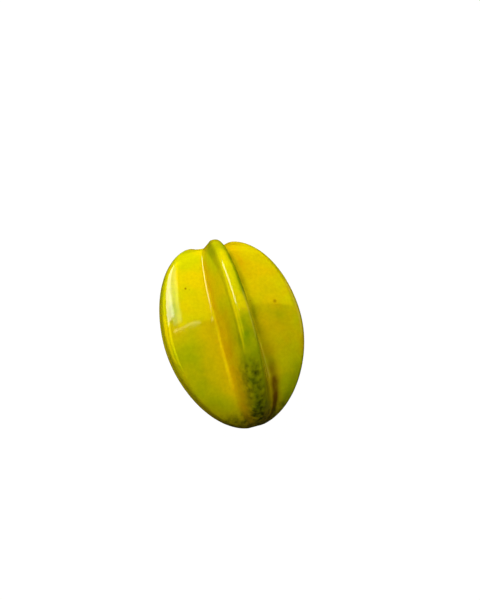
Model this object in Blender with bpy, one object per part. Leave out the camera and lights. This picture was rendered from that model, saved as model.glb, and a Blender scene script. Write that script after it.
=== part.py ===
"""Star fruit: one whole, ripe, five-ribbed fruit lying on two of its ribs.

The fruit is one solid, named "fruit". Units are metres and +Z is up. The long axis runs
along Y, with the blunt stem end towards +Y and the narrower blossom end towards -Y. The
origin is on the surface that the fruit lies on, below the middle of its bounding box.

The skin is a sphere whose points are moved by a formula. A point has a place along the
fruit (0 at the stem pole, pi at the blossom pole) and a direction round it (0 is +Z,
positive towards +X). A star-shaped section says how far out each direction reaches, and
two lengthwise outlines, one along the rib crests and one along the valleys, say how that
reach closes in towards the ends.
"""
import math
from collections import namedtuple

import bmesh
import bpy
from mathutils import Vector

Rib = namedtuple("Rib", "direction reach")

# ---- The star-shaped section -----------------------------------------------------------
CREST_REACH = 0.0360          # from the long axis to the crest of a full-grown rib
VALLEY_REACH = 0.0180         # from the long axis to the floor of a valley
CREST_ROUNDING = 0.0051       # radius of the rounded edge along a rib
CORE_RADIUS = 0.0129          # the core that a rib's flanks widen out to meet
VALLEY_SHARPNESS = 14.0       # higher values crease the valleys more
RIBS = (                      # direction round the fruit in degrees, share of CREST_REACH
    Rib(-1.1, 0.934),         # the rib on top, the least grown of the five
    Rib(79.8, 1.046),
    Rib(146.0, 1.000),        # this rib and the next carry the fruit
    Rib(214.0, 1.000),
    Rib(280.9, 1.008),
)

# ---- The lengthwise outlines -----------------------------------------------------------
# A roundness of 1 gives half an ellipse, and a lower one gives a blunter end.
CREST_STEM_HALF = 0.0481
CREST_STEM_ROUNDNESS = 0.713
CREST_BLOSSOM_HALF = 0.0510
CREST_BLOSSOM_ROUNDNESS = 1.008
VALLEY_STEM_HALF = 0.0504
VALLEY_STEM_ROUNDNESS = 0.746
TIP_SHARE = 0.885             # reach of a valley at the blossom tip, as a share of a crest's
TIP_EASING = 0.82             # how early the valleys start to fill towards that tip
STEM_POLE = 0.0410            # floor of the dip that the stalk came out of
STEM_DIP_RADIUS = 0.0072
BLOSSOM_POLE = 0.0499         # floor of the small dip that the style dried in
BLOSSOM_DIP_RADIUS = 0.0022
TWIST = math.radians(-1.05) / CREST_REACH     # turn of the ribs for each metre of length

# ---- How the fruit lies ----------------------------------------------------------------
AXIS_HEIGHT = 0.0303          # long axis over the surface, low enough to flatten two ribs

# ---- Facets ----------------------------------------------------------------------------
RINGS = 44                    # rings along the fruit
STEPS_PER_RIB = 20            # points of a ring from one crest to the next
CREST_CROWDING = 0.60         # 0 spreads a ring's points evenly, near 1 packs them at crests
POLE_CROWDING = 0.45          # 0 spreads the rings evenly, near 1 packs them at the ends

RIPE_YELLOW = (0.66, 0.53, 0.004, 1.0)
SKIN_ROUGHNESS = 0.30


def clear_scene():
    """Remove every object, so that the file holds only the fruit."""
    for obj in list(bpy.data.objects):
        bpy.data.objects.remove(obj, do_unlink=True)


def rib_radius(angle):
    """Reach of one full-grown rib at an angle from its crest, core included.

    The rib is a rounded crest with two straight flanks that meet the core.
    """
    angle = abs((angle + math.pi) % (2.0 * math.pi) - math.pi)
    crest_centre = CREST_REACH - CREST_ROUNDING
    flank_slope = math.asin((CORE_RADIUS - CREST_ROUNDING) / crest_centre)
    flank_start = math.atan2(
        CREST_ROUNDING * math.cos(flank_slope),
        crest_centre + CREST_ROUNDING * math.sin(flank_slope),
    )
    if angle < flank_start:
        half_chord = math.sqrt(CREST_ROUNDING ** 2 - (crest_centre * math.sin(angle)) ** 2)
        return crest_centre * math.cos(angle) + half_chord
    return CORE_RADIUS / math.sin(min(angle + flank_slope, math.pi / 2.0))


def section_reach(direction):
    """Reach of the whole section, as a soft maximum over the five ribs."""
    total = 0.0
    for rib in RIBS:
        reach = rib.reach * rib_radius(direction - math.radians(rib.direction))
        total += (reach / CREST_REACH) ** VALLEY_SHARPNESS
    return CREST_REACH * total ** (1.0 / VALLEY_SHARPNESS)


def stem_outline(place, radius, half_length):
    """Place along the axis on the stem half, sunk into the dip round the stalk's scar."""
    dip = (half_length - STEM_POLE) * math.exp(-(radius / STEM_DIP_RADIUS) ** 2)
    return half_length * math.cos(place) - dip


def blossom_outline(place, radius):
    """Place along the axis on the blossom half, with the small dip round the style."""
    depth = CREST_BLOSSOM_HALF - BLOSSOM_POLE
    dip = depth * math.exp(-(radius / BLOSSOM_DIP_RADIUS) ** 2)
    return CREST_BLOSSOM_HALF * math.cos(place) + dip


def crest_and_valley(place):
    """Radius and place along the axis, for the crest outline and for the valley outline."""
    girth = math.sin(place)
    if math.cos(place) > 0.0:
        crest_radius = CREST_REACH * girth ** CREST_STEM_ROUNDNESS
        valley_radius = VALLEY_REACH * girth ** VALLEY_STEM_ROUNDNESS
        crest_along = stem_outline(place, crest_radius, CREST_STEM_HALF)
        valley_along = stem_outline(place, valley_radius, VALLEY_STEM_HALF)
        return crest_radius, crest_along, valley_radius, valley_along
    crest_radius = CREST_REACH * girth ** CREST_BLOSSOM_ROUNDNESS
    middle_share = VALLEY_REACH / CREST_REACH
    share = middle_share + (TIP_SHARE - middle_share) * (1.0 - girth) ** TIP_EASING
    along = blossom_outline(place, crest_radius)
    return crest_radius, along, share * crest_radius, along


def skin_point(place, direction):
    """One point of the skin, blended from the valley outline to the crest outline."""
    height = (section_reach(direction) - VALLEY_REACH) / (CREST_REACH - VALLEY_REACH)
    crest_radius, crest_along, valley_radius, valley_along = crest_and_valley(place)
    radius = valley_radius + height * (crest_radius - valley_radius)
    along = valley_along + height * (crest_along - valley_along)
    turned = direction + TWIST * along
    return Vector((radius * math.sin(turned), along, AXIS_HEIGHT + radius * math.cos(turned)))


def crowd(share, crowding):
    """Move an even share from 0 to 1 towards the nearer of its two ends."""
    return share - crowding * math.sin(2.0 * math.pi * share) / (2.0 * math.pi)


def rib_direction(turn):
    """Direction for an even turn round the fruit, where whole numbers are rib crests."""
    index = math.floor(turn)
    start = RIBS[index % len(RIBS)].direction
    end = RIBS[(index + 1) % len(RIBS)].direction
    span = (end - start) % 360.0
    return math.radians(start + span * crowd(turn - index, CREST_CROWDING))


def add_skin(mesh):
    """Fill the mesh with a sphere, moved point by point onto the skin of the fruit."""
    bm = bmesh.new()
    bmesh.ops.create_uvsphere(
        bm, u_segments=STEPS_PER_RIB * len(RIBS), v_segments=RINGS, radius=1.0
    )
    for vert in bm.verts:
        even_place = math.acos(max(-1.0, min(1.0, vert.co.z))) / math.pi
        even_turn = (math.atan2(vert.co.x, vert.co.y) / (2.0 * math.pi)) % 1.0
        place = math.pi * crowd(even_place, POLE_CROWDING)
        vert.co = skin_point(place, rib_direction(len(RIBS) * even_turn))
    bmesh.ops.recalc_face_normals(bm, faces=bm.faces)
    bm.to_mesh(mesh)
    bm.free()


def press_flat_spots(mesh):
    """Cut the two lower ribs where they rest on the surface, and close the cuts."""
    bm = bmesh.new()
    bm.from_mesh(mesh)
    bmesh.ops.bisect_plane(
        bm,
        geom=bm.verts[:] + bm.edges[:] + bm.faces[:],
        plane_co=(0.0, 0.0, 0.0),
        plane_no=(0.0, 0.0, -1.0),
        clear_outer=True,
    )
    rims = [edge for edge in bm.edges if edge.is_boundary]
    bmesh.ops.holes_fill(bm, edges=rims)
    bmesh.ops.recalc_face_normals(bm, faces=bm.faces)
    bm.to_mesh(mesh)
    bm.free()


def centre_over_origin(mesh):
    """Slide the mesh in the plane of the surface until its bounding box is centred."""
    for axis in (0, 1):
        places = [vert.co[axis] for vert in mesh.vertices]
        middle = 0.5 * (min(places) + max(places))
        for vert in mesh.vertices:
            vert.co[axis] -= middle


def skin_material():
    """Plain ripe yellow, waxy skin."""
    material = bpy.data.materials.new("waxy_skin")
    material.use_nodes = True
    shader = material.node_tree.nodes["Principled BSDF"]
    shader.inputs["Base Color"].default_value = RIPE_YELLOW
    shader.inputs["Roughness"].default_value = SKIN_ROUGHNESS
    shader.inputs["Metallic"].default_value = 0.0
    return material


def build_fruit(collection):
    """The whole fruit, as one closed body."""
    mesh = bpy.data.meshes.new("fruit")
    add_skin(mesh)
    press_flat_spots(mesh)
    centre_over_origin(mesh)
    mesh.shade_smooth()
    mesh.set_sharp_from_angle(angle=math.radians(40.0))
    mesh.materials.append(skin_material())
    fruit = bpy.data.objects.new("fruit", mesh)
    collection.objects.link(fruit)
    return fruit


def main():
    clear_scene()
    collection = bpy.data.collections.new("star_fruit")
    bpy.context.scene.collection.children.link(collection)
    build_fruit(collection)


if __name__ == "__main__":
    main()
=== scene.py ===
"""One whole star fruit, lying on two of its ribs on a pale floor.

The file is laid out as a Blender add-on and is run as a script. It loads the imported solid
of the fruit, replaces it with a finer skin of the same form, and dresses that skin as ripe,
waxy fruit. Units are metres. The fruit's long axis runs along Y, with the stem end at +Y.
"""
import math
from collections import namedtuple

import bmesh
import bpy
import numpy as np
from mathutils import Matrix, Quaternion, Vector, noise


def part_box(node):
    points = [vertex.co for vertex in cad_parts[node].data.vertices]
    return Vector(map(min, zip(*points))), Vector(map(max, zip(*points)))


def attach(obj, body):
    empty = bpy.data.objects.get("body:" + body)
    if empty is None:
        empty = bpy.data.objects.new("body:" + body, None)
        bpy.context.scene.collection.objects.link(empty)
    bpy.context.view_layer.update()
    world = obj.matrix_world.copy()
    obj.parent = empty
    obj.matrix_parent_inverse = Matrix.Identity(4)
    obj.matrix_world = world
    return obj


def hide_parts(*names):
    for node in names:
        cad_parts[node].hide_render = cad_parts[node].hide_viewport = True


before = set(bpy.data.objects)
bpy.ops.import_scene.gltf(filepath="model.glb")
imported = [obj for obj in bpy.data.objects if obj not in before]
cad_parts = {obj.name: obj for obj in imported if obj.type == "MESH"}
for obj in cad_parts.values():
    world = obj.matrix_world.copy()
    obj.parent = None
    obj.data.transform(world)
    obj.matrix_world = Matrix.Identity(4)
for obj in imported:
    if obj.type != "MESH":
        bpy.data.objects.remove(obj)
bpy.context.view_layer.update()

bl_info = {
    "name": "Star fruit",
    "version": (1, 0, 0),
    "blender": (4, 5, 0),
    "location": "3D View > Sidebar > Star fruit",
    "description": "Builds one ripe star fruit and the stage that it is seen on",
    "category": "Object",
}

MM = 0.001
FRUIT_LOW, FRUIT_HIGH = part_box("fruit")

# Direction of a rib round the fruit in degrees from +Z towards +X, and share of the full reach.
Rib = namedtuple("Rib", "direction reach")
# Colour that runs along the skin: its turn and half width in ribs, where it starts and ends
# along Y in millimetres, and its strength.
Band = namedtuple("Band", "turn width start end strength")
# Small dry mark: its turn in ribs, its place along Y and its radius in millimetres, strength.
Speck = namedtuple("Speck", "turn along radius strength")
# Waves of the skin: height, length round the fruit, how much longer the waves are along Y.
Wave = namedtuple("Wave", "height length stretch")
# Softbox in a plane that faces the fruit from a bearing (degrees from +Y towards +X) and an
# elevation. Its place and size in that plane are shares of the plane's distance.
Softbox = namedtuple(
    "Softbox", "name bearing elevation across up width height roll radiance colour lights_skin",
)

# Form of the fruit. Halves are lengths from the fruit's middle to its ends.
RIBS = (Rib(-1.1, 0.934), Rib(79.8, 1.046), Rib(146.0, 1.0), Rib(214.0, 1.0), Rib(280.9, 1.008))
HALF_ROUND = len(RIBS) / 2.0
CREST_REACH = 36.0 * MM
VALLEY_REACH = 18.0 * MM
CREST_ROUNDING = 5.1 * MM
CORE_RADIUS = 12.9 * MM
VALLEY_SHARPNESS = 24.0
CREST_STEM_HALF = 48.1 * MM
CREST_STEM_ROUNDNESS = 0.713
CREST_BLOSSOM_HALF = 51.0 * MM
CREST_BLOSSOM_ROUNDNESS = 1.008
VALLEY_STEM_HALF = 50.4 * MM
VALLEY_STEM_ROUNDNESS = 0.746
TIP_SHARE = 0.885
TIP_EASING = 0.82
STEM_POLE = 41.0 * MM
STEM_DIP_RADIUS = 7.2 * MM
BLOSSOM_POLE = 49.9 * MM
BLOSSOM_DIP_RADIUS = 2.2 * MM
TWIST = math.radians(-1.05) / CREST_REACH
AXIS_HEIGHT = 30.3 * MM
# Swell of the flanks, and how much blunter the crests are than a plain rounding.
FLANK_BULGE = 0.25 * MM
CREST_EASE = 2.2 * MM
CREST_EASE_WIDTH = 0.105

# Fineness of the skin, and how much its points crowd at the crests and the ends.
STEPS_PER_RIB = 64
RINGS = 190
CREST_CROWDING = 0.35
POLE_CROWDING = 0.60
WAVES = (
    Wave(0.030 * MM, 13.0 * MM, 1.5),
    Wave(0.018 * MM, 2.6 * MM, 1.3),
)
WAVE_OFFSET = 7.3

BANDS = {
    "amber": (
        Band(4.60, 0.10, 4, 38, 0.80),
        Band(4.67, 0.20, -49, 6, 0.88),
        Band(0.60, 0.10, 24, 44, 0.60),
        Band(0.80, 0.30, -20, 46, 0.35),
        Band(1.55, 0.15, -40, 36, 0.80),
        Band(2.50, 0.18, -42, 30, 0.70),
        Band(3.45, 0.15, -44, 34, 0.80),
    ),
    "green": (
        Band(4.96, 0.10, -48, -1, 0.72),
        Band(4.88, 0.12, -48, -4, 0.15),
        Band(4.86, 0.07, 34, 44, 0.60),
        Band(0.20, 0.15, -44, 44, 0.60),
        Band(4.18, 0.15, -40, -6, 0.40),
        Band(0.86, 0.14, -50, -26, 0.60),
        Band(0.79, 0.03, -1, 3, 0.50),
        Band(2.02, 0.08, -44, 20, 0.80),
        Band(3.00, 0.07, -40, 34, 0.60),
        # The next two bands are painted shade. They darken the valley beside the top rib and that
        # rib's far flank, where the rib shades the skin.
        Band(0.49, 0.055, -8, 44, 0.40),
        Band(0.09, 0.05, 8, 40, 0.80),
    ),
    "brown_and_shade": (
        # The next three bands are painted shade beside the top rib, where the rib shades the skin.
        Band(0.49, 0.055, -8, 44, 0.28),
        Band(0.50, 0.07, 20, 46, 0.20),
        Band(0.09, 0.05, 8, 40, 0.12),
        # The stripe down the right valley is partly the valley's own brown discoloration and partly
        # painted shade.
        Band(0.57, 0.085, -50, -30, 0.40),
        Band(0.57, 0.10, -50, -22, 0.40),
        Band(0.56, 0.11, -50, -13, 0.20),
        Band(0.55, 0.11, -50, -4, 0.15),
        Band(3.52, 0.04, -44, -22, 0.60),
    ),
    "olive_and_shade": (
        Band(4.91, 0.15, -50, -21, 0.62),
        Band(0.04, 0.07, -50, -24, 0.35),
        # Darker towards the blossom tip: partly the tip's own duller colour, partly painted shade.
        Band(4.30, 0.90, -70, -43, 0.55),
        Band(0.60, 0.60, -70, -42, 0.55),
        Band(1.98, 0.06, -40, -20, 0.60),
    ),
}
# How far a band takes to fade at its ends.
BAND_FADE = 5.0 * MM
BAND_SHARPNESS = 4.0
SPECKS = (
    Speck(4.22, 25.5, 0.80, 0.85),
    Speck(4.26, 24, 0.60, 0.25),
    Speck(0.79, 9.3, 1.40, 0.60),
    Speck(0.52, 13, 0.70, 0.35),
    Speck(1.30, -14, 0.80, 0.60),
    Speck(2.75, 9, 0.90, 0.50),
    Speck(3.20, 20, 0.70, 0.60),
)
# Share of a speck's radius inside which it has its full strength.
SPECK_CORE = 0.3
# Radius and place outwards, in millimetres, of each ring of the two marks at the fruit's ends.
SCAR_PROFILE = ((2.0, 0.0), (2.6, 0.9), (2.5, 1.7), (1.9, 2.1), (1.2, 1.8), (0.5, 1.7))
STYLE_PROFILE = ((0.9, 0.0), (1.0, 0.8), (0.7, 1.4), (0.5, 2.0), (0.2, 2.3))
# How far each mark's foot lies inside the fruit.
SCAR_SINK = 1.0 * MM
STYLE_SINK = 2.0 * MM
END_STEPS = 24
END_WOBBLE = 0.08
END_LOBES = 3
# A mix node has one pair of inputs for each kind of data; these are its two colours' places.
MIX_A, MIX_B, MIX_RESULT = 6, 7, 2
# How strongly a pattern breaks up a band of colour, and how much of the band that takes away.
PATTERN_MIDDLE = 0.5
PATTERN_SWING = 6.0
PATTERN_LOSS = 0.5

# The window and its panes give the upper halves of the flanks their shine, down to the sill's
# pale line. The veil and the core give the pale streaks. The rest fill in from the sides.
SOFTBOXES = (
    Softbox("window west", 0, 55, -0.85, -0.17, 1.60, 0.64, 0, 2.8, "FFD500", False),
    Softbox("window", 0, 55, 0.12, -0.06, 0.42, 0.83, 0, 1.3, "FFF200", True),
    Softbox("window east", 0, 55, 0.66, -0.075, 0.66, 0.86, 0, 1.3, "FFF200", True),
    Softbox("pane", 0, 55, 0.12, -0.27, 0.42, 1.25, 0, 1.8, "FFD500", False),
    Softbox("pane east", 0, 55, 0.66, -0.225, 0.66, 1.16, 0, 1.5, "FFD000", False),
    Softbox("sill", 0, 55, 0.02, 0.365, 0.38, 0.012, 0, 5.0, "FFF0B0", False),
    Softbox("veil", 0, 55, -0.135, -0.10, 0.12, 0.84, -6, 2.2, "B4FFC0", True),
    Softbox("core", 0, 55, -0.335, -0.13, 0.37, 0.78, -3, 5.2, "FFFFFF", True),
    Softbox("low west", 0, 20, -1.15, 0.0, 1.10, 0.54, 0, 3.0, "FFF200", True),
    Softbox("low middle", 0, 20, 0.10, 0.0, 1.40, 0.54, 0, 1.3, "FFF200", True),
    Softbox("west side", -75, 60, 0.0, 0.0, 0.50, 0.30, 0, 4.6, "FFF200", True),
    Softbox("west foot", -75, 8, 0.0, 0.0, 0.80, 0.30, 0, 1.0, "FFF200", True),
    Softbox("rim west", -80, 14, 0.0, 0.0, 0.60, 0.90, 0, 3.0, "FFD500", False),
    Softbox("east side", 75, 35, 0.0, 0.0, 0.60, 0.60, 0, 0.7, "FFF200", True),
    Softbox("rim east", 78, 18, 0.0, 0.0, 0.50, 0.50, 0, 1.0, "FFD080", False),
)
AMBIENT_COLOUR = "FFF080"
AMBIENT_STRENGTH = 0.03
BACKDROP_RADIUS = 3.5
FLOOR_GAP = 0.1 * MM
SOFTBOX_DISTANCE = 2.0
SOFTBOX_STEP = 0.02
# The camera's azimuth, elevation and roll in degrees, its place from the fruit's middle, its lens.
CAMERA_ANGLES = (-51.64, 69.02, 38.74)
CAMERA_PLACE = (-75.53 * MM, -52.30 * MM, 281.88 * MM)
CAMERA_LENS = 34.12


def linear(hex_code):
    """An sRGB hex code as linear red, green, blue and full opacity."""
    shares = [int(hex_code[i:i + 2], 16) / 255.0 for i in (0, 2, 4)]
    shares = [s / 12.92 if s <= 0.04045 else ((s + 0.055) / 1.055) ** 2.4 for s in shares]
    return (*shares, 1.0)


# ---- Form of the fruit -----------------------------------------------------------------
def rib_radius(angle):
    """Reach of a full-grown rib at angles from its crest: round crest, flanks, core."""
    angle = np.abs((angle + math.pi) % (2.0 * math.pi) - math.pi)
    crest_centre = CREST_REACH - CREST_ROUNDING
    flank_slope = math.asin((CORE_RADIUS - CREST_ROUNDING) / crest_centre)
    flank_start = math.atan2(
        CREST_ROUNDING * math.cos(flank_slope),
        crest_centre + CREST_ROUNDING * math.sin(flank_slope),
    )
    half_chord = CREST_ROUNDING ** 2 - (crest_centre * np.sin(angle)) ** 2
    on_crest = crest_centre * np.cos(angle) + np.sqrt(np.maximum(half_chord, 0.0))
    on_flank = CORE_RADIUS / np.sin(np.minimum(angle + flank_slope, math.pi / 2.0))
    return np.where(angle < flank_start, on_crest, on_flank)


def section_radius(direction):
    """Reach of the whole section, as a soft maximum over the five ribs."""
    total = np.zeros_like(direction)
    for rib in RIBS:
        reach = rib.reach * rib_radius(direction - math.radians(rib.direction))
        total += (reach / CREST_REACH) ** VALLEY_SHARPNESS
    return CREST_REACH * total ** (1.0 / VALLEY_SHARPNESS)


def stem_profile(place, half, full_radius, roundness):
    """Radius and place along the axis of one line of the skin's stem half."""
    radius = full_radius * np.sin(place) ** roundness
    dip = (half - STEM_POLE) * np.exp(-(radius / STEM_DIP_RADIUS) ** 2)
    return radius, half * np.cos(place) - dip


def blossom_profile(place):
    """Crest radius, valley radius and place along the axis of the skin's blossom half."""
    sine = np.sin(place)
    crest_radius = CREST_REACH * sine ** CREST_BLOSSOM_ROUNDNESS
    valley_share = VALLEY_REACH / CREST_REACH
    share = valley_share + (TIP_SHARE - valley_share) * (1.0 - sine) ** TIP_EASING
    tip = (CREST_BLOSSOM_HALF - BLOSSOM_POLE) * np.exp(-(crest_radius / BLOSSOM_DIP_RADIUS) ** 2)
    return crest_radius, share * crest_radius, CREST_BLOSSOM_HALF * np.cos(place) + tip


def skin_points(place, turn):
    """Points of the skin about the middle of the long axis, one row for each place."""
    direction = rib_direction(turn)
    reach = section_radius(direction)
    ridge = (reach - VALLEY_REACH) / (CREST_REACH - VALLEY_REACH)
    ridge *= 1.0 + CREST_EASE / (CREST_REACH - VALLEY_REACH) * np.sin(place) ** 2
    stem_side = np.cos(place) > 0.0
    stem_crest = stem_profile(place, CREST_STEM_HALF, CREST_REACH, CREST_STEM_ROUNDNESS)
    stem_valley = stem_profile(place, VALLEY_STEM_HALF, VALLEY_REACH, VALLEY_STEM_ROUNDNESS)
    tip_crest, tip_valley, tip_along = blossom_profile(place)
    crest_radius = np.where(stem_side, stem_crest[0], tip_crest)
    crest_along = np.where(stem_side, stem_crest[1], tip_along)
    valley_radius = np.where(stem_side, stem_valley[0], tip_valley)
    valley_along = np.where(stem_side, stem_valley[1], tip_along)
    radius = valley_radius + ridge * (crest_radius - valley_radius)
    along = valley_along + ridge * (crest_along - valley_along)
    turned = direction + TWIST * along
    return np.stack([radius * np.sin(turned), along, radius * np.cos(turned)], axis=-1)


def crowd(share, crowding):
    """Move even shares from 0 to 1 towards the nearer of their two ends."""
    return share - crowding * np.sin(2.0 * math.pi * share) / (2.0 * math.pi)


def rib_direction(turn):
    """Direction in radians for a turn round the fruit, where whole numbers are crests."""
    starts = np.array([rib.direction for rib in RIBS])
    spans = (np.roll(starts, -1) - starts) % 360.0
    index = np.floor(turn).astype(int) % len(RIBS)
    return np.radians(starts[index] + spans[index] * (turn % 1.0))


def waves(points):
    """Height of the skin's gentle unevenness at each point."""
    total = np.zeros(len(points))
    for seed, wave in enumerate(WAVES):
        scale = np.array([1.0, 1.0 / wave.stretch, 1.0]) / wave.length
        places = points * scale + WAVE_OFFSET * (seed + 1)
        total += wave.height * np.array([noise.noise(Vector(place)) for place in places])
    return total


def flank_bulge(turn, place):
    """How far the flanks swell and the crests sink. Both fade out at the fruit's ends."""
    across = np.sin(2.0 * math.pi * turn) ** 2
    from_crest = (turn + 0.5) % 1.0 - 0.5
    ease = np.exp(-(from_crest / CREST_EASE_WIDTH) ** 2)
    return (FLANK_BULGE * across - CREST_EASE * ease) * np.sin(place) ** 2


def band_strength(tint, turn, along):
    """How strongly one tint lies on the skin, from 0 to 1."""
    total = np.zeros_like(turn)
    for band in BANDS[tint]:
        off = (turn - band.turn + HALF_ROUND) % len(RIBS) - HALF_ROUND
        begin = 1.0 / (1.0 + np.exp(-(along - band.start * MM) / BAND_FADE * BAND_SHARPNESS))
        finish = 1.0 / (1.0 + np.exp((along - band.end * MM) / BAND_FADE * BAND_SHARPNESS))
        total += band.strength * np.exp(-(off / band.width) ** 2) * begin * finish
    return np.minimum(total, 1.0)


def get_vectors(items, name):
    """One vector for each item of a mesh's own list, as the rows of an array."""
    values = np.zeros(len(items) * 3)
    items.foreach_get(name, values)
    return values.reshape(-1, 3)


def set_points(mesh, points):
    mesh.vertices.foreach_set("co", points.ravel())
    mesh.update()


def speck_places(turn, points):
    """The point of the skin that is nearest to each speck."""
    places = []
    for speck in SPECKS:
        gap = np.abs(turn - speck.turn) * CREST_REACH + np.abs(points[:, 1] - speck.along * MM)
        places.append(tuple(points[np.argmin(gap)]))
    return places


def skin_mesh():
    """The skin with its tints, in the solid's place; the fruit's middle; the specks' places."""
    mesh = bpy.data.meshes.new("fruit_skin")
    bm = bmesh.new()
    steps = STEPS_PER_RIB * len(RIBS)
    bmesh.ops.create_uvsphere(bm, u_segments=steps, v_segments=RINGS, radius=1.0)
    # Turning the ball's axis from Z to Y mirrors it, so its faces are turned over first.
    bmesh.ops.reverse_faces(bm, faces=bm.faces)
    bm.to_mesh(mesh)
    bm.free()
    ball = get_vectors(mesh.vertices, "co")
    even_place = np.arccos(np.clip(ball[:, 2], -1.0, 1.0)) / math.pi
    even_turn = len(RIBS) * ((np.arctan2(ball[:, 0], ball[:, 1]) / (2.0 * math.pi)) % 1.0)
    turn = np.floor(even_turn) + crowd(even_turn % 1.0, CREST_CROWDING)
    place = math.pi * crowd(even_place, POLE_CROWDING)
    points = skin_points(place, turn)
    set_points(mesh, points)
    swelling = waves(points) + flank_bulge(turn, place)
    points += get_vectors(mesh.vertex_normals, "vector") * swelling[:, None]
    for tint in BANDS:
        layer = mesh.attributes.new(tint, "FLOAT", "POINT")
        layer.data.foreach_set("value", band_strength(tint, turn, points[:, 1]))
    points[:, 2] = np.maximum(points[:, 2] + AXIS_HEIGHT, 0.0)
    middle = (points.min(axis=0) + points.max(axis=0)) / 2.0
    goal = (np.array(FRUIT_LOW) + np.array(FRUIT_HIGH)) / 2.0
    points[:, :2] += goal[:2] - middle[:2]
    set_points(mesh, points)
    mesh.shade_smooth()
    return mesh, Vector((*(goal[:2] - middle[:2]), AXIS_HEIGHT)), speck_places(turn, points)


# ---- Finishes --------------------------------------------------------------------------
def add(tree, kind, inputs, **settings):
    """Add one node with its settings, and with a value or a link for each named input."""
    node = tree.nodes.new(kind)
    for name, value in settings.items():
        setattr(node, name, value)
    for name, value in inputs.items():
        if isinstance(value, bpy.types.NodeSocket):
            tree.links.new(value, node.inputs[name])
        else:
            node.inputs[name].default_value = value
    return node


def new_material(name):
    """A material, its node tree and its shader."""
    material = bpy.data.materials.new(name)
    material.use_nodes = True
    return material, material.node_tree, material.node_tree.nodes["Principled BSDF"]


class FruitSkin(bpy.types.PropertyGroup):
    """Colours of the skin and sizes of its patterns."""

    ripe: bpy.props.FloatVectorProperty(
        name="Ripe yellow", description="Colour of the ripe flanks",
        default=linear("DECB02"), size=4, min=0.0, max=1.0, subtype="COLOR",
    )
    pale: bpy.props.FloatVectorProperty(
        name="Pale yellow", description="Colour of flanks that are a little less ripe",
        default=linear("C4C902"), size=4, min=0.0, max=1.0, subtype="COLOR",
    )
    amber: bpy.props.FloatVectorProperty(
        name="Amber", description="Colour of the ripest skin, beside the valleys",
        default=linear("D1A402"), size=4, min=0.0, max=1.0, subtype="COLOR",
    )
    # Besides the crests, this colour paints shade on the top rib's far flank and in the valley
    # beside it.
    green: bpy.props.FloatVectorProperty(
        name="Green", description="Colour of unripe crests",
        default=linear("89A402"), size=4, min=0.0, max=1.0, subtype="COLOR",
    )
    # Besides the mottles, this colour darkens the blossom tip, partly as the tip's own colour and
    # partly as painted shade.
    olive_and_shade: bpy.props.FloatVectorProperty(
        name="Olive", description="Colour of the dark mottles",
        default=linear("4A5406"), size=4, min=0.0, max=1.0, subtype="COLOR",
    )
    # This colour is mostly painted shade: the stripe down the right valley, over some brown
    # discoloration, and the strips beside the top rib.
    brown_and_shade: bpy.props.FloatVectorProperty(
        name="Brown", description="Colour of the scuffed stripe in a valley",
        default=linear("6A4802"), size=4, min=0.0, max=1.0, subtype="COLOR",
    )
    speck: bpy.props.FloatVectorProperty(
        name="Speck", description="Colour of the small dry marks",
        default=linear("6A2402"), size=4, min=0.0, max=1.0, subtype="COLOR",
    )
    drift_size: bpy.props.FloatProperty(
        name="Drift", description="Size of the broad changes in ripeness",
        default=22.0 * MM, min=MM, unit="LENGTH",
    )
    cloud_size: bpy.props.FloatProperty(
        name="Clouds", description="Size of the patches that break up a band of colour",
        default=6.0 * MM, min=MM, unit="LENGTH",
    )
    mottle_size: bpy.props.FloatProperty(
        name="Mottles", description="Size of the dark mottles",
        default=2.6 * MM, min=0.5 * MM, unit="LENGTH",
    )
    grain_size: bpy.props.FloatProperty(
        name="Grain", description="Size of the fine grain in the colour",
        default=1.6 * MM, min=0.5 * MM, unit="LENGTH",
    )
    # Real pores lie about 0.3 mm apart. They are drawn coarser, so that they can be seen.
    dimple_size: bpy.props.FloatProperty(
        name="Dimples", description="Spacing of the skin's shallow dimples",
        default=0.9 * MM, min=0.5 * MM, unit="LENGTH",
    )


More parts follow.
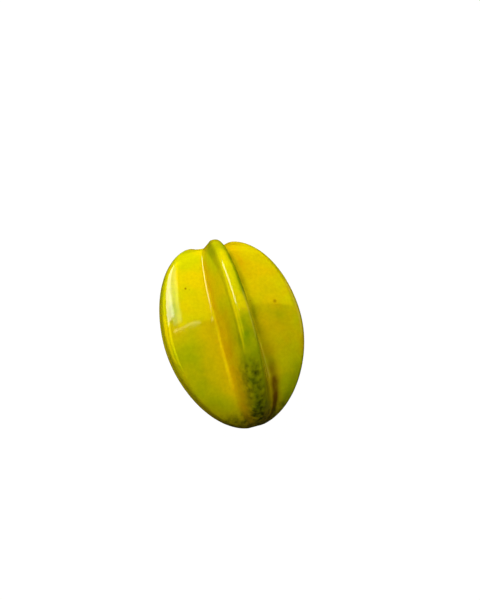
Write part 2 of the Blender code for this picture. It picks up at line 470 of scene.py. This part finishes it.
def skin_material(settings, speck_spots):
    """Waxy skin: saturated colour under a thin clear shine, and light that goes a little way in."""
    material, tree, shader = new_material("waxy_skin")
    place = add(tree, "ShaderNodeTexCoord", {}).outputs["Object"]
    patterns = {}
    for name, size, detail in (
        ("drift", settings.drift_size, 2.0),
        ("clouds", settings.cloud_size, 4.0),
        ("mottles", settings.mottle_size, 4.0),
        ("grain", settings.grain_size, 3.0),
        ("dimples", settings.dimple_size, 2.0),
    ):
        inputs = {"Vector": place, "Scale": 1.0 / size, "Detail": detail}
        patterns[name] = add(tree, "ShaderNodeTexNoise", inputs).outputs["Fac"]
    # The flanks drift between two ripe yellows.
    ripeness = add(tree, "ShaderNodeMapRange", {
        "Value": patterns["drift"], "From Min": 0.40, "From Max": 0.60,
    })
    colour = add(tree, "ShaderNodeMix", {
        0: ripeness.outputs["Result"], MIX_A: settings.pale, MIX_B: settings.ripe,
    }, data_type="RGBA")
    # Each tint lies on the skin where its bands are, and a pattern breaks up its edges.
    # Three of these tints also carry painted shade: beside the top rib, down the right valley and at
    # the blossom tip.
    looks = {
        "amber": (settings.amber, "clouds", 0.30),
        "green": (settings.green, "clouds", 0.35),
        "brown_and_shade": (settings.brown_and_shade, "clouds", 0.15),
        "olive_and_shade": (settings.olive_and_shade, "mottles", 0.60),
    }
    for tint, (tint_colour, pattern, break_up) in looks.items():
        band = add(tree, "ShaderNodeAttribute", {}, attribute_name=tint).outputs["Fac"]
        low = add(tree, "ShaderNodeMath", {
            0: patterns[pattern], 1: PATTERN_MIDDLE,
        }, operation="SUBTRACT")
        swing = add(tree, "ShaderNodeMath", {
            0: low.outputs[0], 1: PATTERN_SWING * break_up, 2: 1.0 - PATTERN_LOSS * break_up,
        }, operation="MULTIPLY_ADD")
        share = add(tree, "ShaderNodeMath", {
            0: band, 1: swing.outputs[0],
        }, operation="MULTIPLY", use_clamp=True)
        colour = add(tree, "ShaderNodeMix", {
            0: share.outputs[0], MIX_A: colour.outputs[MIX_RESULT], MIX_B: tint_colour,
        }, data_type="RGBA")
    for speck, spot in zip(SPECKS, speck_spots):
        gap = add(tree, "ShaderNodeVectorMath", {0: place, 1: spot}, operation="DISTANCE")
        share = add(tree, "ShaderNodeMapRange", {
            "Value": gap.outputs["Value"], "From Min": speck.radius * MM,
            "From Max": SPECK_CORE * speck.radius * MM, "To Max": speck.strength,
        })
        colour = add(tree, "ShaderNodeMix", {
            0: share.outputs["Result"], MIX_A: colour.outputs[MIX_RESULT], MIX_B: settings.speck,
        }, data_type="RGBA")
    # The skin's cells give the colour a fine grain.
    shade = add(tree, "ShaderNodeMapRange", {
        "Value": patterns["grain"], "From Min": 0.3, "From Max": 0.7, "To Min": 0.92, "To Max": 1.05,
    })
    colour = add(tree, "ShaderNodeVectorMath", {
        0: colour.outputs[MIX_RESULT], 3: shade.outputs["Result"],
    }, operation="SCALE")
    bump = add(tree, "ShaderNodeBump", {
        "Height": patterns["dimples"], "Distance": 0.02 * MM, "Strength": 0.10,
    })
    tree.links.new(colour.outputs[0], shader.inputs["Base Color"])
    tree.links.new(bump.outputs["Normal"], shader.inputs["Normal"])
    shader.inputs["Roughness"].default_value = 0.07
    shader.inputs["Coat Weight"].default_value = 0.35
    shader.inputs["Coat Roughness"].default_value = 0.04
    shader.inputs["Subsurface Weight"].default_value = 0.15
    shader.inputs["Subsurface Radius"].default_value = (1.0, 0.6, 0.1)
    shader.inputs["Subsurface Scale"].default_value = 2.5 * MM
    return material


def end_piece(name, profile, place, way):
    """A small round piece on the long axis, turned from a profile; way is the sign of outwards."""
    bm = bmesh.new()
    rings = []
    for radius, along in profile:
        ring = []
        for step in range(END_STEPS):
            angle = 2.0 * math.pi * step / END_STEPS
            reach = radius * (1.0 + END_WOBBLE * math.sin(END_LOBES * angle + along))
            point = (reach * math.sin(angle), way * along, way * reach * math.cos(angle))
            ring.append(bm.verts.new(place + Vector(point) * MM))
        rings.append(ring)
    for inner, outer in zip(rings, rings[1:]):
        for step in range(END_STEPS):
            after = (step + 1) % END_STEPS
            bm.faces.new((inner[step], inner[after], outer[after], outer[step]))
    bm.faces.new(rings[-1])
    bm.faces.new(reversed(rings[0]))
    bmesh.ops.recalc_face_normals(bm, faces=bm.faces)
    mesh = bpy.data.meshes.new(name)
    bm.to_mesh(mesh)
    bm.free()
    mesh.shade_smooth()
    piece = bpy.data.objects.new(name, mesh)
    bpy.context.scene.collection.objects.link(piece)
    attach(piece, "root")
    return piece


def end_material(name, settings, colour):
    """Dry corky tissue: dull, rough and uneven in tone."""
    material, tree, shader = new_material(name)
    place = add(tree, "ShaderNodeTexCoord", {}).outputs["Object"]
    cork = add(tree, "ShaderNodeTexNoise", {
        "Vector": place, "Scale": 1.0 / settings.cork_size, "Detail": 3.0,
    })
    shade = add(tree, "ShaderNodeMapRange", {
        "Value": cork.outputs["Fac"], "To Min": 0.5, "To Max": 1.4,
    })
    tone = add(tree, "ShaderNodeVectorMath", {
        0: colour[:3], 3: shade.outputs["Result"],
    }, operation="SCALE")
    bump = add(tree, "ShaderNodeBump", {"Height": cork.outputs["Fac"], "Distance": 0.15 * MM})
    tree.links.new(tone.outputs[0], shader.inputs["Base Color"])
    tree.links.new(bump.outputs["Normal"], shader.inputs["Normal"])
    shader.inputs["Roughness"].default_value = 0.85
    return material


class EndMarks(bpy.types.PropertyGroup):
    """Colours of the dry marks at the two ends, and the size of their grain."""

    scar: bpy.props.FloatVectorProperty(
        name="Scar", description="Colour of the corky stem scar",
        default=linear("8A6A3C"), size=4, min=0.0, max=1.0, subtype="COLOR",
    )
    style: bpy.props.FloatVectorProperty(
        name="Style", description="Colour of the dried style remnant",
        default=linear("3E2A14"), size=4, min=0.0, max=1.0, subtype="COLOR",
    )
    cork_size: bpy.props.FloatProperty(
        name="Cork", description="Size of the grain of the dry tissue",
        default=0.8 * MM, min=0.2 * MM, unit="LENGTH",
    )


class FRUIT_OT_skin(bpy.types.Operator):
    """Build the whole skin of the fruit"""

    bl_idname = "star_fruit.skin"
    bl_label = "Build the skin"

    def execute(self, context):
        mesh, middle, spots = skin_mesh()
        mesh.materials.append(skin_material(context.scene.star_fruit_skin, spots))
        piece = bpy.data.objects.new("fruit_skin", mesh)
        context.scene.collection.objects.link(piece)
        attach(piece, "root")
        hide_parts("fruit")
        context.scene["axis_middle"] = middle
        return {"FINISHED"}


class FRUIT_OT_ends(bpy.types.Operator):
    """Build the stem scar and the dried style remnant at the fruit's two ends"""

    bl_idname = "star_fruit.ends"
    bl_label = "Build the end marks"

    def execute(self, context):
        settings = context.scene.star_fruit_ends
        middle = Vector(context.scene["axis_middle"])
        scar_place = middle + Vector((0.0, STEM_POLE - SCAR_SINK, 0.0))
        scar = end_piece("stem_scar", SCAR_PROFILE, scar_place, 1.0)
        scar.data.materials.append(end_material("corky_scar", settings, settings.scar))
        style_place = middle - Vector((0.0, BLOSSOM_POLE - STYLE_SINK, 0.0))
        style = end_piece("style_remnant", STYLE_PROFILE, style_place, -1.0)
        style.data.materials.append(end_material("dried_style", settings, settings.style))
        return {"FINISHED"}


class FRUIT_OT_stage(bpy.types.Operator):
    """Build the floor, the lights and the camera"""

    bl_idname = "star_fruit.stage"
    bl_label = "Build the stage"

    def execute(self, context):
        middle = Vector(context.scene["axis_middle"])
        build_backdrop(context.scene)
        for index, softbox in enumerate(SOFTBOXES):
            add_softbox(context.scene, softbox, middle, SOFTBOX_DISTANCE - index * SOFTBOX_STEP)
        add_camera(context.scene, middle)
        return {"FINISHED"}


def build_backdrop(scene):
    """The pale floor and dome, and the little light that comes from everywhere."""
    scene.view_settings.view_transform = "Standard"
    world = bpy.data.worlds.new("studio")
    scene.world = world
    world.use_nodes = True
    ambient = world.node_tree.nodes["Background"]
    ambient.inputs["Color"].default_value = linear(AMBIENT_COLOUR)
    ambient.inputs["Strength"].default_value = AMBIENT_STRENGTH
    # Matt and evenly bright, so that nothing but the fruit is seen.
    material, _, shader = new_material("pale_backdrop")
    shader.inputs["Base Color"].default_value = linear("484848")
    shader.inputs["Roughness"].default_value = 0.9
    shader.inputs["Specular IOR Level"].default_value = 0.0
    shader.inputs["Emission Color"].default_value = (1.0, 1.0, 1.0, 1.0)
    shader.inputs["Emission Strength"].default_value = 1.0
    for name in ("floor", "dome"):
        bm = bmesh.new()
        if name == "floor":
            bmesh.ops.create_circle(bm, cap_ends=True, segments=64, radius=BACKDROP_RADIUS)
        else:
            bmesh.ops.create_icosphere(bm, subdivisions=4, radius=BACKDROP_RADIUS)
        mesh = bpy.data.meshes.new(name)
        bm.to_mesh(mesh)
        bm.free()
        mesh.materials.append(material)
        piece = bpy.data.objects.new(name, mesh)
        scene.collection.objects.link(piece)
        # The fruit neither mirrors the backdrop nor takes light from it.
        piece.visible_diffuse = False
        piece.visible_glossy = False
        piece.visible_shadow = name == "floor"
        piece.location.z = -FLOOR_GAP


def add_softbox(scene, softbox, middle, distance):
    """Hang one softbox. Each hangs nearer than the last, so where two overlap it is the later
    one that the skin mirrors."""
    light = bpy.data.lights.new(softbox.name, "AREA")
    light.shape = "RECTANGLE"
    light.size = softbox.width * distance
    light.size_y = softbox.height * distance
    light.energy = softbox.radiance * math.pi * light.size * light.size_y
    light.color = linear(softbox.colour)[:3]
    lamp = bpy.data.objects.new(softbox.name, light)
    scene.collection.objects.link(lamp)
    lean = math.radians(softbox.elevation) - math.pi / 2.0
    plane = Matrix.Rotation(-math.radians(softbox.bearing), 4, "Z") @ Matrix.Rotation(lean, 4, "X")
    place = Vector((softbox.across, -softbox.up, 1.0)) * distance
    roll = Matrix.Rotation(-math.radians(softbox.roll), 4, "Z")
    lamp.matrix_world = Matrix.Translation(middle) @ plane @ Matrix.Translation(place) @ roll
    lamp.visible_diffuse = softbox.lights_skin


def add_camera(scene, middle):
    """Put the camera where it sees the fruit from steeply above."""
    azimuth, elevation, roll = map(math.radians, CAMERA_ANGLES)
    back = Vector((
        math.sin(azimuth) * math.cos(elevation),
        -math.cos(azimuth) * math.cos(elevation),
        math.sin(elevation),
    ))
    data = bpy.data.cameras.new("camera")
    data.lens = CAMERA_LENS
    data.clip_start = 0.01
    camera = bpy.data.objects.new("camera", data)
    scene.collection.objects.link(camera)
    camera.location = middle + Vector(CAMERA_PLACE)
    camera.rotation_mode = "QUATERNION"
    camera.rotation_quaternion = (-back).to_track_quat("-Z", "Y") @ Quaternion((0, 0, 1), roll)
    scene.camera = camera


class FRUIT_PT_panel(bpy.types.Panel):
    """Lists the steps that build the fruit"""

    bl_label = "Star fruit"
    bl_idname = "FRUIT_PT_panel"
    bl_space_type = "VIEW_3D"
    bl_region_type = "UI"
    bl_category = "Star fruit"

    def draw(self, context):
        for step in (FRUIT_OT_skin, FRUIT_OT_ends, FRUIT_OT_stage):
            self.layout.operator(step.bl_idname)


CLASSES = (FruitSkin, EndMarks, FRUIT_OT_skin, FRUIT_OT_ends, FRUIT_OT_stage, FRUIT_PT_panel)


def register():
    for cls in CLASSES:
        bpy.utils.register_class(cls)
    bpy.types.Scene.star_fruit_skin = bpy.props.PointerProperty(type=FruitSkin)
    bpy.types.Scene.star_fruit_ends = bpy.props.PointerProperty(type=EndMarks)


def unregister():
    del bpy.types.Scene.star_fruit_ends
    del bpy.types.Scene.star_fruit_skin
    for cls in reversed(CLASSES):
        bpy.utils.unregister_class(cls)


def main():
    register()
    bpy.ops.star_fruit.skin()
    bpy.ops.star_fruit.ends()
    bpy.ops.star_fruit.stage()


if __name__ == "__main__":
    main()
